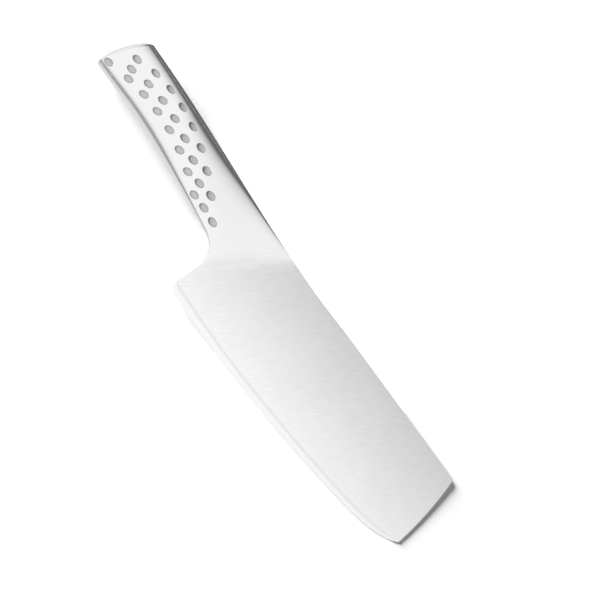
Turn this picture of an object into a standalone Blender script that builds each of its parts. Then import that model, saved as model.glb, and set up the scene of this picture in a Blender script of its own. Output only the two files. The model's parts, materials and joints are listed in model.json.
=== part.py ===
"""Vegetable knife with a hollow, dimpled steel handle, lying on its side.

The knife is modelled in its own flat frame: X runs from the butt to the tip,
Y up from the cutting edge to the spine, Z through the thickness, and the
origin is where the spine meets the neck. An empty then lays the knife down.
"""
import math
from collections import namedtuple

import bmesh
import bpy
from mathutils import Matrix, Vector

# Blade outline
BLADE_LENGTH = 0.1659
HEEL_BACK = 0.0222
EDGE_DEPTH = 0.0597
SPINE_DIP = 0.0006
SPINE_DIP_X = 0.020
SPINE_DIP_LENGTH = 0.034
EDGE_LOW_X = 0.014
EDGE_SWEEP = 0.0120
EDGE_SWEEP_POWER = 1.65
NOSE_RISE = 0.0070
NOSE_POWER = 14
HEEL_RISE = 0.0007
HEEL_RADIUS = 0.0046
FRONT_LEAN = 0.0090
FRONT_BULGE = 0.0012
CORNER_RADIUS = 0.0020

# Blade section, thinning to the edge and to the front, and its bevel
SPINE_THICKNESS = 0.0026
BEHIND_BEVEL_THICKNESS = 0.0010
FRONT_THINNING = 0.0005
FRONT_EASE = 0.0002
BEVEL_WIDTH = 0.0042
BEVEL_HEEL_STEP = 0.0004
BEVEL_TAPER = 0.2
BEVEL_NOSE_LOSS = 0.7
BEVEL_NOSE_POWER = 20
EDGE_THICKNESS = 0.0002

# Neck between the blade and the handle, with the choil under it
CHOIL_BACK = 0.0230
CHOIL_RADIUS = 0.0150
PLUNGE_TAIL = 0.0030
PLUNGE_BOW = 0.0012
NECK_LENGTH = 0.080
NECK_RAMP = 0.30
NECK_POWER = 6.0
NECK_BLEND_POWER = 3

# Handle outline and oval section
HANDLE_THICKNESS = 0.0178
BUTT_THICKNESS = 0.0154
BUTT_TAPER_LENGTH = 0.040
HANDLE_RISE = 0.0088
HANDLE_RISE_LENGTH = 0.150
HANDLE_RISE_RAMP = 0.45
BELLY_DEPTH = 0.0212
BELLY_DROP = 0.0061
BELLY_DROP_BACK = 0.115
BELLY_DROP_LENGTH = 0.077
BELLY_DROP_POWER = 1.5
OVAL_POWER = 2.35

# Weld of the shells to the neck, and seat and dome of the end cap
WELD_SPINE_BACK = 0.0260
WELD_BELLY_BACK = 0.0335
CAP_SPINE_BACK = 0.1315
CAP_BELLY_BACK = 0.1396
CAP_RIM = 0.0008
CAP_BULGE = 0.0026
CAP_POWER = 3.2
CAP_CROWN_POWER = 2

# Walls, stub tang, filling and clearances
WALL = 0.0009
GAP = 0.0003
TANG_LENGTH = 0.022
TANG_WIDTH = 0.015
TANG_THICKNESS = 0.0021
TANG_ROOT = 0.004
TANG_CORNER = 0.004
FILL_SETBACK = 0.003
FILL_CLEARANCE = 0.00045

# Dimples, in three bowed rows on each side and one in the butt's lower corner
DIMPLE_LENGTH = 0.0056
DIMPLE_WIDTH = 0.0039
DIMPLE_DEPTH = 0.0005
DIMPLE_PITCH = 0.01138
DIMPLE_RINGS = (0.45, 0.80, 1.25)
CORNER_DIMPLE_BACK = 0.1358
# Rows of dimples: how far back the first dimple and the crest lie, the crest's
# depth, the radius of the bow on the neck's and on the butt's side, the count,
# and how many degrees the ovals turn from the handle's length
Row = namedtuple("Row", "first_back crest_back crest_depth neck_bow butt_bow count turn")
SPINE_ROW = Row(0.0375, 0.1045, 0.0004, 0.102, 0.058, 9, 1)
MIDDLE_ROW = Row(0.0459, 0.1030, 0.0076, 0.114, 0.078, 8, 10)
BELLY_ROW = Row(0.0540, 0.1003, 0.0132, 0.120, 0.135, 7, 19)

# Fineness of the meshes and of the searches
SEARCH_STEPS = 30
SLOPE_STEP = 0.0005
NEAR_SIDE = 0.999
EDGE_CROWDING = 1.3
TANG_CORNER_STEPS = 4
RING_POINTS = 48
NECK_STATIONS = 14
SHELL_STATIONS = 30
INNER_POINTS = 24
INNER_STATIONS = 9
CAP_STATIONS = 7
EDGE_STATIONS = 40
FRONT_STATIONS = 8
CORNER_STATIONS = 5
DIP_STATIONS = 8
DIMPLE_SIDES = 16

# Densities for the resting attitude, in kg per cubic metre, the sand's as solid stone
STEEL_DENSITY = 7850
SAND_DENSITY = 2700
HULL_STEPS = 20
FLAT_ENOUGH = 0.5

TIP_X = BLADE_LENGTH - HEEL_BACK
CORNER_X = TIP_X - FRONT_LEAN
SPINE_HALF = SPINE_THICKNESS / 2


def clear_scene():
    for obj in list(bpy.data.objects):
        bpy.data.objects.remove(obj, do_unlink=True)


def smoothstep(value):
    value = min(max(value, 0.0), 1.0)
    return value * value * (3 - 2 * value)


def mix(start, end, share):
    return start + (end - start) * share


def make_material(name, colour, roughness, metallic):
    material = bpy.data.materials.new(name)
    material.use_nodes = True
    shader = material.node_tree.nodes["Principled BSDF"]
    shader.inputs["Base Color"].default_value = (*colour, 1)
    shader.inputs["Roughness"].default_value = roughness
    shader.inputs["Metallic"].default_value = metallic
    return material


def mesh_object(name, bm, material=None, sharp_angle=30):
    """Turn a bmesh into a smooth-shaded object with its normals outside."""
    bmesh.ops.recalc_face_normals(bm, faces=bm.faces)
    if bm.calc_volume(signed=True) < 0:
        bmesh.ops.reverse_faces(bm, faces=bm.faces)
    mesh = bpy.data.meshes.new(name)
    bm.to_mesh(mesh)
    bm.free()
    mesh.shade_smooth()
    mesh.set_sharp_from_angle(angle=math.radians(sharp_angle))
    obj = bpy.data.objects.new(name, mesh)
    if material:
        mesh.materials.append(material)
    bpy.context.scene.collection.objects.link(obj)
    return obj


def add_boolean(obj, cutter, operation):
    cutter.hide_render = True
    cutter.display_type = "WIRE"
    modifier = obj.modifiers.new(cutter.name, "BOOLEAN")
    modifier.operation = operation
    modifier.solver = "EXACT"
    modifier.object = cutter


def add_points(bm, points):
    return [bm.verts.new(point) for point in points]


def bridge(bm, first, second, closed=True):
    """Join two rows of as many vertices with four-sided faces."""
    for i in range(len(first) if closed else len(first) - 1):
        j = (i + 1) % len(first)
        bm.faces.new((first[i], first[j], second[j], second[i]))


def half_thickness(place):
    """Half thickness of the flat-ground blade over a place in plan."""
    to_edge = (SPINE_THICKNESS - BEHIND_BEVEL_THICKNESS) * place.y / EDGE_DEPTH
    to_front = FRONT_THINNING * place.x / TIP_X
    return (SPINE_THICKNESS + to_edge - to_front) / 2


def edge_y(x):
    """Height of the cutting edge: a long sweep that turns up at the nose."""
    if x < EDGE_LOW_X:
        share = (EDGE_LOW_X - x) / (EDGE_LOW_X + HEEL_BACK)
        return -EDGE_DEPTH + HEEL_RISE * share**2
    share = (x - EDGE_LOW_X) / (TIP_X - EDGE_LOW_X)
    sweep = EDGE_SWEEP * share**EDGE_SWEEP_POWER + NOSE_RISE * share**NOSE_POWER
    return sweep - EDGE_DEPTH


def bevel_width(x):
    """Width of the bevel, which narrows a little to the front and then at the nose."""
    share = max(0.0, (x - EDGE_LOW_X) / (TIP_X - EDGE_LOW_X))
    loss = BEVEL_TAPER * share + BEVEL_NOSE_LOSS * share**BEVEL_NOSE_POWER
    return BEVEL_WIDTH * (1 - loss)


def rear_x(y):
    """X of the blade's rear edge between the choil and the heel."""
    plunge_end = choil()[0] - PLUNGE_TAIL
    return mix(-CHOIL_BACK, -HEEL_BACK, (plunge_end - y) / (plunge_end + EDGE_DEPTH))


def chord_x(y):
    """X of the straight line under the bulge of the blade's front edge."""
    return mix(CORNER_X, TIP_X, y / edge_y(TIP_X))


def front_x(y):
    """X of the blade's slightly bulging front edge at height y."""
    share = y / edge_y(TIP_X)
    return chord_x(y) + FRONT_BULGE * 4 * share * (1 - share)


def eased_thickness(place):
    """Half thickness on the outline, eased where the front edge bulges."""
    beyond = max(0.0, place.x - chord_x(place.y)) / FRONT_BULGE
    return half_thickness(place) - FRONT_EASE * beyond


def spine_y(x):
    """Height of the upper outline: the blade's spine, a shallow dip, the handle."""
    if x > SPINE_DIP_X:
        return -SPINE_DIP * (1 - smoothstep((x - SPINE_DIP_X) / SPINE_DIP_LENGTH))
    share = min(1.0, (SPINE_DIP_X - x) / HANDLE_RISE_LENGTH)
    return HANDLE_RISE * mix(smoothstep(share), share, HANDLE_RISE_RAMP) - SPINE_DIP


def belly_y(x):
    """Height of the handle's belly, which drops towards the choil."""
    share = max(0.0, (x + BELLY_DROP_BACK) / BELLY_DROP_LENGTH)
    return -BELLY_DEPTH - BELLY_DROP * share**BELLY_DROP_POWER


def choil():
    """Centre height of the choil's arc and the angle where the belly joins it."""
    x = -CHOIL_BACK - CHOIL_RADIUS
    step = CHOIL_RADIUS / 100
    for _ in range(6):
        slope = (belly_y(x - step) - belly_y(x + step)) / (2 * step)
        angle = math.atan2(1, slope)
        x = -CHOIL_BACK - CHOIL_RADIUS + CHOIL_RADIUS * math.cos(angle)
    return belly_y(x) - CHOIL_RADIUS * math.sin(angle), angle


def lower_y(x):
    """Height of the lower outline: the belly, then the arc into the choil."""
    centre_y, join_angle = choil()
    along = x + CHOIL_BACK + CHOIL_RADIUS
    if along > CHOIL_RADIUS * math.cos(join_angle):
        return centre_y + math.sqrt(max(0.0, CHOIL_RADIUS**2 - along**2))
    return belly_y(x)


def neck_under(share):
    """Point on the choil, from the plunge (0) back to the shells' weld (1)."""
    centre_y = choil()[0]
    weld_angle = math.acos((CHOIL_BACK + CHOIL_RADIUS - WELD_BELLY_BACK) / CHOIL_RADIUS)
    distance = share * (PLUNGE_TAIL + CHOIL_RADIUS * weld_angle)
    if distance < PLUNGE_TAIL:
        return Vector((-CHOIL_BACK, centre_y - PLUNGE_TAIL + distance))
    angle = (distance - PLUNGE_TAIL) / CHOIL_RADIUS
    reach = CHOIL_RADIUS * Vector((math.cos(angle), math.sin(angle)))
    return Vector((-CHOIL_BACK - CHOIL_RADIUS, centre_y)) + reach


class Station:
    """A cut across the handle or neck, standing on a slanted line in plan."""

    def __init__(self, top, bottom):
        self.top = Vector(top)
        self.bottom = Vector(bottom)
        self.centre = (self.top + self.bottom) / 2
        self.half_width = (self.top - self.bottom).length / 2
        self.across = (self.top - self.bottom).normalized()
        plunge_x = -CHOIL_BACK / 2
        self.back = min(1.0, (plunge_x - self.centre.x) / NECK_LENGTH)
        rise = NECK_RAMP * self.back + (1 - NECK_RAMP) * smoothstep(self.back)
        half = mix(SPINE_HALF, HANDLE_THICKNESS / 2, rise)
        cap_x = -(CAP_SPINE_BACK + CAP_BELLY_BACK) / 2
        taper = smoothstep(1 - (self.centre.x - cap_x) / BUTT_TAPER_LENGTH)
        self.half_height = half - (HANDLE_THICKNESS - BUTT_THICKNESS) / 2 * taper
        self.power = mix(OVAL_POWER, NECK_POWER, (1 - self.back) ** NECK_BLEND_POWER)

    def point(self, angle, inset=0.0):
        """Point of the oval section, angle 0 at the spine and pi at the belly."""
        cosine, sine = math.cos(angle), math.sin(angle)
        along = math.copysign(abs(cosine) ** (2 / self.power), cosine)
        up = math.copysign(abs(sine) ** (2 / self.power), sine)
        place = self.centre + self.across * along * (self.half_width - inset)
        return Vector((place.x, place.y, up * (self.half_height - inset)))

    def height(self, across):
        """Height of the outer surface, across being -1 to 1 over the width."""
        return self.half_height * (1 - abs(across) ** self.power) ** (1 / self.power)


def handle_station(share):
    """Station between the weld at the neck (0) and the seat of the cap (1)."""
    top_x = -mix(WELD_SPINE_BACK, CAP_SPINE_BACK, share)
    bottom_x = -mix(WELD_BELLY_BACK, CAP_BELLY_BACK, share)
    return Station((top_x, spine_y(top_x)), (bottom_x, lower_y(bottom_x)))


def share_of(distance):
    """Share of the shells' length that a distance along the spine takes up."""
    return distance / (CAP_SPINE_BACK - WELD_SPINE_BACK)


def neck_station(share):
    top_x = -share * WELD_SPINE_BACK
    return Station((top_x, spine_y(top_x)), neck_under(share))


def plunge_ring():
    """Flat-sided ring where the neck's curves run out into the blade."""
    line = neck_station(0)
    half = RING_POINTS // 2
    upper = []
    for k in range(half + 1):
        angle = math.pi * min(max(k - 1, 0), half - 2) / (half - 2)
        place = line.centre + line.across * line.half_width * math.cos(angle)
        bow = PLUNGE_BOW * math.sin(angle) ** 2
        side = 0 if k in (0, half) else half_thickness(place)
        upper.append(Vector((place.x - bow, place.y, side)))
    lower = [Vector((p.x, p.y, -p.z)) for p in reversed(upper[1:-1])]
    return upper + lower


def neck_rings():
    """Rings from the plunge to the weld, turning from flat-sided to oval."""
    flat = plunge_ring()
    start = neck_station(0)
    rings = [flat]
    for i in range(1, NECK_STATIONS + 1):
        share = i / NECK_STATIONS
        station = neck_station(share)
        flatness = (1 - share) ** NECK_BLEND_POWER
        ring = []
        for k in range(RING_POINTS):
            oval = station.point(2 * math.pi * k / RING_POINTS)
            ratio = (flat[k].xy - start.centre).dot(start.across) / start.half_width
            place = station.centre + station.across * station.half_width * ratio
            slab = math.copysign(station.half_height, flat[k].z) if flat[k].z else 0
            slab *= half_thickness(flat[k]) / SPINE_HALF
            bowed = flat[k].x - (start.centre + start.across * start.half_width * ratio).x
            square = Vector((place.x + bowed * flatness, place.y, slab))
            ring.append(oval.lerp(square, flatness))
        rings.append(ring)
    return rings


def edge_lines():
    """Matching points along the bevel's inner line and along the cutting edge."""
    heel_x = -HEEL_BACK + HEEL_RADIUS
    centre = Vector((heel_x, edge_y(heel_x) + HEEL_RADIUS))
    top = centre.y + BEVEL_HEEL_STEP
    start = Vector((rear_x(top), top))
    end = Vector((heel_x, edge_y(heel_x) + bevel_width(heel_x)))
    inner, outer = [], []
    for i in range(CORNER_STATIONS):
        share = i / CORNER_STATIONS
        angle = math.pi * (1 + share / 2)
        outer.append(centre + HEEL_RADIUS * Vector((math.cos(angle), math.sin(angle))))
        inner.append(start.lerp(end, share))
    end_y = edge_y(TIP_X) + bevel_width(TIP_X)
    for i in range(EDGE_STATIONS + 1):
        share = 1 - (1 - i / EDGE_STATIONS) ** EDGE_CROWDING
        x = mix(centre.x, TIP_X, share)
        outer.append(Vector((x, edge_y(x))))
        x = mix(centre.x, front_x(end_y), share)
        inner.append(Vector((x, edge_y(min(x, TIP_X)) + bevel_width(x))))
    return inner, outer


def front_line():
    """Points along the blade's spine, round its corner and down the front edge."""
    lean = FRONT_LEAN + 4 * FRONT_BULGE
    turn = math.atan2(-edge_y(TIP_X), lean)
    start_x = CORNER_X - CORNER_RADIUS * math.tan(turn / 2)
    dip_end = SPINE_DIP_X + SPINE_DIP_LENGTH
    points = []
    for i in range(1, DIP_STATIONS + 1):
        x = dip_end * i / DIP_STATIONS
        points.append(Vector((x, spine_y(x))))
    for i in range(CORNER_STATIONS + 1):
        angle = math.pi / 2 - turn * i / CORNER_STATIONS
        reach = CORNER_RADIUS * Vector((math.cos(angle), math.sin(angle)))
        points.append(Vector((start_x, -CORNER_RADIUS)) + reach)
    last = points[-1].y
    end = edge_y(TIP_X) + bevel_width(TIP_X)
    for i in range(1, FRONT_STATIONS):
        y = mix(last, end, i / FRONT_STATIONS)
        points.append(Vector((front_x(y), y)))
    return points


def side_points(bm, line, side, half=half_thickness):
    return [bm.verts.new((p.x, p.y, side * half(p))) for p in line]


def make_tang():
    """Flat stub that the shells close round, rooted in the neck."""
    weld = handle_station(0)
    axis = (handle_station(share_of(TANG_LENGTH)).centre - weld.centre).normalized()
    side = Vector((-axis.y, axis.x))
    half = TANG_WIDTH / 2
    outline = [(-TANG_ROOT, half), (-TANG_ROOT, -half)]
    for sign, first in ((-1, -math.pi / 2), (1, 0)):
        for i in range(TANG_CORNER_STEPS + 1):
            angle = first + math.pi / 2 * i / TANG_CORNER_STEPS
            along = TANG_LENGTH - TANG_CORNER + TANG_CORNER * math.cos(angle)
            across = sign * (half - TANG_CORNER) + TANG_CORNER * math.sin(angle)
            outline.append((along, across))
    bm = bmesh.new()
    base = []
    for along, across in outline:
        place = weld.centre + axis * along + side * across
        base.append(bm.verts.new((place.x, place.y, -TANG_THICKNESS / 2)))
    face = bm.faces.new(base)
    body = bmesh.ops.extrude_face_region(bm, geom=[face])["geom"]
    lifted = [item for item in body if isinstance(item, bmesh.types.BMVert)]
    bmesh.ops.translate(bm, verts=lifted, vec=(0, 0, TANG_THICKNESS))
    return mesh_object("tang_form", bm)


def make_blade(material):
    """Flat-ground blade with its bevel, running back into the forged neck."""
    bm = bmesh.new()
    rings = [add_points(bm, ring) for ring in neck_rings()]
    for first, second in zip(rings, rings[1:]):
        bridge(bm, first, second)
    bm.faces.new(rings[-1])
    ring = rings[0]
    middle = RING_POINTS // 2
    front = front_line()
    bulge = len(front) - FRONT_STATIONS + 1
    inner, outer = edge_lines()
    rims, edges, bevels = [], [], []
    for side in (1, -1):
        near = ring[1:middle] if side > 0 else ring[:middle:-1]
        top = side_points(bm, front, side, eased_thickness)
        chord = side_points(bm, [Vector((chord_x(p.y), p.y)) for p in front[bulge:]], side)
        bevel = side_points(bm, inner, side)
        edge = side_points(bm, outer, side, lambda place: EDGE_THICKNESS / 2)
        bm.faces.new(near[:1] + top[:bulge] + chord + bevel[::-1] + near[:0:-1])
        bridge(bm, chord, top[bulge:], closed=False)
        bm.faces.new((top[bulge - 1], top[bulge], chord[0]))
        bm.faces.new((bevel[-1], chord[-1], top[-1]))
        bridge(bm, bevel, edge, closed=False)
        rims.append(near[:1] + top + bevel[-1:] + edge[-1:])
        edges.append(edge)
        bevels.append((near[-1], bevel[0], edge[0]))
    bridge(bm, rims[0][1:], rims[1][1:], closed=False)
    bm.faces.new((ring[0], rims[0][0], rims[0][1], rims[1][1], rims[1][0]))
    bridge(bm, edges[0], edges[1], closed=False)
    bridge(bm, bevels[0][1:], bevels[1][1:], closed=False)
    bm.faces.new((ring[middle], bevels[0][0], bevels[0][1], bevels[1][1], bevels[1][0]))
    blade = mesh_object("blade", bm, material, sharp_angle=12)
    add_boolean(blade, make_tang(), "UNION")
    return blade


def shell_grid(first, last, stations, points, inset):
    """Rows of points over one half of the handle, with the seam's clearance."""
    rows = []
    for i in range(stations + 1):
        station = handle_station(mix(first, last, i / stations))
        row = [station.point(math.pi * k / points, inset) for k in range(points + 1)]
        for point in row:
            point.z = max(point.z, GAP / 2)
        rows.append(row)
    return rows


def make_shell(name, side, material):
    """Pressed half shell of the handle, open along its welded edges."""
    first, last = share_of(GAP), 1 - share_of(GAP)
    half = RING_POINTS // 2
    bm = bmesh.new()
    skins = []
    for stations, points, inset in (
        (SHELL_STATIONS, half, 0.0),
        (INNER_STATIONS, INNER_POINTS // 2, WALL),
    ):
        grid = shell_grid(first, last, stations, points, inset)
        rows = [add_points(bm, [Vector((p.x, p.y, side * p.z)) for p in row]) for row in grid]
        for row, following in zip(rows, rows[1:]):
            bridge(bm, row, following, closed=False)
        skins.append(rows)
    outer, inner = skins
    bm.faces.new(outer[0] + inner[0][::-1])
    bm.faces.new(outer[-1] + inner[-1][::-1])
    for edge in (0, -1):
        bm.faces.new([row[edge] for row in outer] + [row[edge] for row in reversed(inner)])
    return mesh_object(name, bm, material, sharp_angle=32)


def surface_height(x, y):
    """Height of the handle's outer surface over a point in plan."""
    low, high = 0.0, 1.0
    for _ in range(SEARCH_STEPS):
        share = (low + high) / 2
        station = handle_station(share)
        ahead = (x - station.centre.x) * station.across.y
        ahead -= (y - station.centre.y) * station.across.x
        if ahead > 0:
            high = share
        else:
            low = share
    across = (Vector((x, y)) - station.centre).dot(station.across) / station.half_width
    return station.height(min(max(across, -NEAR_SIDE), NEAR_SIDE))


def row_spot(row, x):
    """Place of a row's dimple at x, and the turn of its oval in radians."""
    ahead = x + row.crest_back
    radius = row.neck_bow if ahead > 0 else row.butt_bow
    return x, -row.crest_depth - ahead**2 / (2 * radius), math.radians(row.turn)


def dimple_places():
    for row in (SPINE_ROW, MIDDLE_ROW, BELLY_ROW):
        for i in range(row.count):
            yield row_spot(row, -row.first_back - DIMPLE_PITCH * i)
    yield row_spot(BELLY_ROW, -CORNER_DIMPLE_BACK)


def dimple_frame(x, y, turn):
    """Matrix that stands a dimple on the surface, its length along the handle."""
    step = SLOPE_STEP
    here = surface_height(x, y)
    slope_x = (surface_height(x + step, y) - surface_height(x - step, y)) / (2 * step)
    slope_y = (surface_height(x, y + step) - surface_height(x, y - step)) / (2 * step)
    normal = Vector((-slope_x, -slope_y, 1)).normalized()
    along = Vector((math.cos(turn), math.sin(turn), 0))
    along = (along - normal * along.dot(normal)).normalized()
    across = normal.cross(along)
    frame = Matrix((along, across, normal)).transposed().to_4x4()
    frame.translation = Vector((x, y, here))
    return frame


def make_dimple_cutter(side):
    """One oval bowl for every dimple, each closed above the surface."""
    bm = bmesh.new()
    for x, y, turn in dimple_places():
        frame = dimple_frame(x, y, turn)
        rings = []
        for radius in DIMPLE_RINGS:
            ring = []
            for k in range(DIMPLE_SIDES):
                angle = 2 * math.pi * k / DIMPLE_SIDES
                spot = Vector((
                    DIMPLE_LENGTH / 2 * radius * math.cos(angle),
                    DIMPLE_WIDTH / 2 * radius * math.sin(angle),
                    DIMPLE_DEPTH * (radius**2 - 1),
                ))
                spot = frame @ spot
                ring.append(bm.verts.new((spot.x, spot.y, side * spot.z)))
            rings.append(ring)
        floor = frame @ Vector((0, 0, -DIMPLE_DEPTH))
        floor = bm.verts.new((floor.x, floor.y, side * floor.z))
        for k in range(DIMPLE_SIDES):
            bm.faces.new((floor, rings[0][k], rings[0][(k + 1) % DIMPLE_SIDES]))
        bridge(bm, rings[0], rings[1])
        bridge(bm, rings[1], rings[2])
        bm.faces.new(rings[2])
    return mesh_object("dimple_form_right" if side > 0 else "dimple_form_left", bm)


def make_cap(material):
    """Domed plug whose rim meets the shells and whose crown is the butt."""
    seat = handle_station(1)
    outward = Vector((-seat.across.y, seat.across.x))
    bm = bmesh.new()
    rings = []
    angles = [2 * math.pi * k / RING_POINTS for k in range(RING_POINTS)]
    for i in range(CAP_STATIONS + 1):
        turn = math.pi / 2 * i / CAP_STATIONS
        reach = math.sin(turn) ** (2 / CAP_POWER)
        flat = math.cos(turn) ** (2 / CAP_POWER)
        ring = []
        for angle in angles:
            point = seat.point(angle)
            share = (point.xy - seat.centre).dot(seat.across) / seat.half_width
            depth = CAP_RIM + CAP_BULGE * (1 - abs(share) ** CAP_CROWN_POWER)
            place = point.xy + outward * depth * reach
            ring.append(Vector((place.x, place.y, point.z * flat)))
        rings.append(ring)
    half = RING_POINTS // 2
    rows = [add_points(bm, ring) for ring in rings[:-1]]
    crown = add_points(bm, rings[-1][: half + 1])
    rows.append(crown + crown[half - 1 : 0 : -1])
    for first, second in zip(rows, rows[1:]):
        bridge(bm, first, second)
    bm.faces.new(rows[0])
    return mesh_object("end_cap", bm, material, sharp_angle=40)


def make_fill(material):
    """Loose sand in the hollow, from behind the stub tang to the end cap."""
    first = share_of(TANG_LENGTH + FILL_SETBACK)
    last = 1 - share_of(GAP)
    bm = bmesh.new()
    rows = []
    for i in range(INNER_STATIONS + 1):
        station = handle_station(mix(first, last, i / INNER_STATIONS))
        angles = [2 * math.pi * k / INNER_POINTS for k in range(INNER_POINTS)]
        rows.append(add_points(bm, [station.point(a, WALL + FILL_CLEARANCE) for a in angles]))
    for row, following in zip(rows, rows[1:]):
        bridge(bm, row, following)
    bm.faces.new(rows[0])
    bm.faces.new(rows[-1])
    return mesh_object("balance_fill", bm, material)


def mass_and_moment(obj, density):
    """Mass of a closed mesh and its mass times the place of its centre."""
    mass, moment = 0.0, Vector()
    obj.data.calc_loop_triangles()
    for triangle in obj.data.loop_triangles:
        a, b, c = (obj.data.vertices[i].co for i in triangle.vertices)
        part = density * a.dot(b.cross(c)) / 6
        mass += part
        moment += part * (a + b + c) / 4
    return mass, moment


def resting_face(solids, centre):
    """Outward direction of the face of the knife's hull that it lies on."""
    hull = bmesh.new()
    for obj in solids:
        for vertex in obj.data.vertices:
            hull.verts.new(vertex.co)
    bmesh.ops.convex_hull(hull, input=hull.verts, use_existing_faces=False)
    planes = []
    for face in hull.faces:
        reach = face.normal.dot(face.verts[0].co - centre)
        outward = face.normal if reach > 0 else -face.normal
        planes.append((outward.copy(), abs(reach)))
    hull.free()
    down = Vector((0, 0, -1))
    for _ in range(HULL_STEPS):
        below = [plane for plane in planes if plane[0].dot(down) > FLAT_ENOUGH]
        down = min(below, key=lambda plane: plane[1] / plane[0].dot(down))[0]
    return down


def lay_down(solids, fill):
    """Empty that sets the knife on the ground plane, lying on its left side."""
    parts = [mass_and_moment(obj, STEEL_DENSITY) for obj in solids]
    parts.append(mass_and_moment(fill, SAND_DENSITY))
    mass = sum(part[0] for part in parts)
    centre = sum((part[1] for part in parts), Vector()) / mass
    down = resting_face(solids, centre)
    turn = down.rotation_difference(Vector((0, 0, -1)))
    places = [turn @ vertex.co for obj in solids for vertex in obj.data.vertices]
    lows = [min(place[i] for place in places) for i in range(3)]
    highs = [max(place[i] for place in places) for i in range(3)]
    stand = bpy.data.objects.new("resting_attitude", None)
    stand.rotation_mode = "QUATERNION"
    stand.rotation_quaternion = turn
    stand.location = (-(lows[0] + highs[0]) / 2, -(lows[1] + highs[1]) / 2, -lows[2])
    bpy.context.scene.collection.objects.link(stand)
    return stand


def build():
    clear_scene()
    brushed = make_material("brushed_steel_blade", (0.62, 0.62, 0.61), 0.34, 1.0)
    satin = make_material("satin_steel_handle", (0.70, 0.70, 0.69), 0.24, 1.0)
    polished = make_material("polished_steel_cap", (0.68, 0.68, 0.67), 0.22, 1.0)
    sand = make_material("balance_sand", (0.55, 0.47, 0.35), 0.95, 0.0)
    blade = make_blade(brushed)
    right = make_shell("handle_shell_right", 1, satin)
    left = make_shell("handle_shell_left", -1, satin)
    cap = make_cap(polished)
    fill = make_fill(sand)
    cutters = {right: make_dimple_cutter(1), left: make_dimple_cutter(-1)}
    for shell, cutter in cutters.items():
        add_boolean(shell, cutter, "DIFFERENCE")
    stand = lay_down([blade, right, left, cap], fill)
    for obj in list(bpy.context.scene.objects):
        if obj is not stand:
            obj.parent = stand


build()
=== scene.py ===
"""Looks of the vegetable knife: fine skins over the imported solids, and a white studio.

Every shape is made in the knife's own flat frame: X runs from the butt to the
tip, Y up from the cutting edge to the spine, Z through the thickness, and the
origin is where the spine meets the neck. The blade's two flat faces, which the
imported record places, say how that frame lies in the row frame.
"""
import json
import math
from collections import namedtuple

import bmesh
import bpy
import numpy as np
from mathutils import Matrix, Vector


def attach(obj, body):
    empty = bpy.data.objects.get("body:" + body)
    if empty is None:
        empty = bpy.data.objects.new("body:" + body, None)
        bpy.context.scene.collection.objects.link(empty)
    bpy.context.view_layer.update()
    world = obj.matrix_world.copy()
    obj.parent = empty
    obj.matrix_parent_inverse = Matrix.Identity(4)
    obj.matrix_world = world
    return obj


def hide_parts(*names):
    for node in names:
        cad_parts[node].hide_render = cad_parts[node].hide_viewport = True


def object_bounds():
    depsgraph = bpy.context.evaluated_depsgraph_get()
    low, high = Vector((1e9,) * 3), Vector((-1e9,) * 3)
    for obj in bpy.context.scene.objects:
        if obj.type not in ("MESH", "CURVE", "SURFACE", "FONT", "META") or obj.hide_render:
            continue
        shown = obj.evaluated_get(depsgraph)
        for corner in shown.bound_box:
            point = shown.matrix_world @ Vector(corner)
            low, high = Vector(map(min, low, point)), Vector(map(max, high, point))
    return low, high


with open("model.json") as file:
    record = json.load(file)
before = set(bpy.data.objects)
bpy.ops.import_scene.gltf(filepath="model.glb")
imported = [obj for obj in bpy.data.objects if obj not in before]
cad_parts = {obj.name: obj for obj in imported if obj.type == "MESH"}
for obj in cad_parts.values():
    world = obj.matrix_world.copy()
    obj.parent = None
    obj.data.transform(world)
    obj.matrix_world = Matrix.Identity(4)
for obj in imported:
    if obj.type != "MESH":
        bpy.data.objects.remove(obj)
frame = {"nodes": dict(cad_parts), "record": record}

CAD_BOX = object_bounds()

# Blade outline, in metres
BLADE_LENGTH = 0.1659
HEEL_BACK = 0.0222
EDGE_DEPTH = 0.0597
SPINE_DIP = 0.0006
SPINE_DIP_X = 0.020
SPINE_DIP_LENGTH = 0.034
EDGE_LOW_X = 0.014
EDGE_SWEEP = 0.0120
EDGE_SWEEP_POWER = 1.65
NOSE_RISE = 0.0070
NOSE_POWER = 14
HEEL_RISE = 0.0007
HEEL_RADIUS = 0.0046
FRONT_LEAN = 0.0090
FRONT_BULGE = 0.0012
CORNER_RADIUS = 0.0020

# Blade section, thinning to the edge and to the front, and its bevel
SPINE_THICKNESS = 0.0026
BEHIND_BEVEL_THICKNESS = 0.0010
FRONT_THINNING = 0.0005
FRONT_EASE = 0.0002
BEVEL_WIDTH = 0.0042
BEVEL_HEEL_STEP = 0.0004
BEVEL_TAPER = 0.2
BEVEL_NOSE_LOSS = 0.7
BEVEL_NOSE_POWER = 20
EDGE_THICKNESS = 0.0002

# Neck between the blade and the handle, with the choil under it
CHOIL_BACK = 0.0230
CHOIL_RADIUS = 0.0150
PLUNGE_TAIL = 0.0030
PLUNGE_BOW = 0.0012
NECK_LENGTH = 0.080
NECK_RAMP = 0.30
NECK_POWER = 6.0
NECK_BLEND_POWER = 3

# Handle outline and oval section
HANDLE_THICKNESS = 0.0178
BUTT_THICKNESS = 0.0154
BUTT_TAPER_LENGTH = 0.040
HANDLE_RISE = 0.0088
HANDLE_RISE_LENGTH = 0.150
HANDLE_RISE_RAMP = 0.45
BELLY_DEPTH = 0.0212
BELLY_DROP = 0.0061
BELLY_DROP_BACK = 0.115
BELLY_DROP_LENGTH = 0.077
BELLY_DROP_POWER = 1.5
OVAL_POWER = 2.35
WALL = 0.0009

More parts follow.
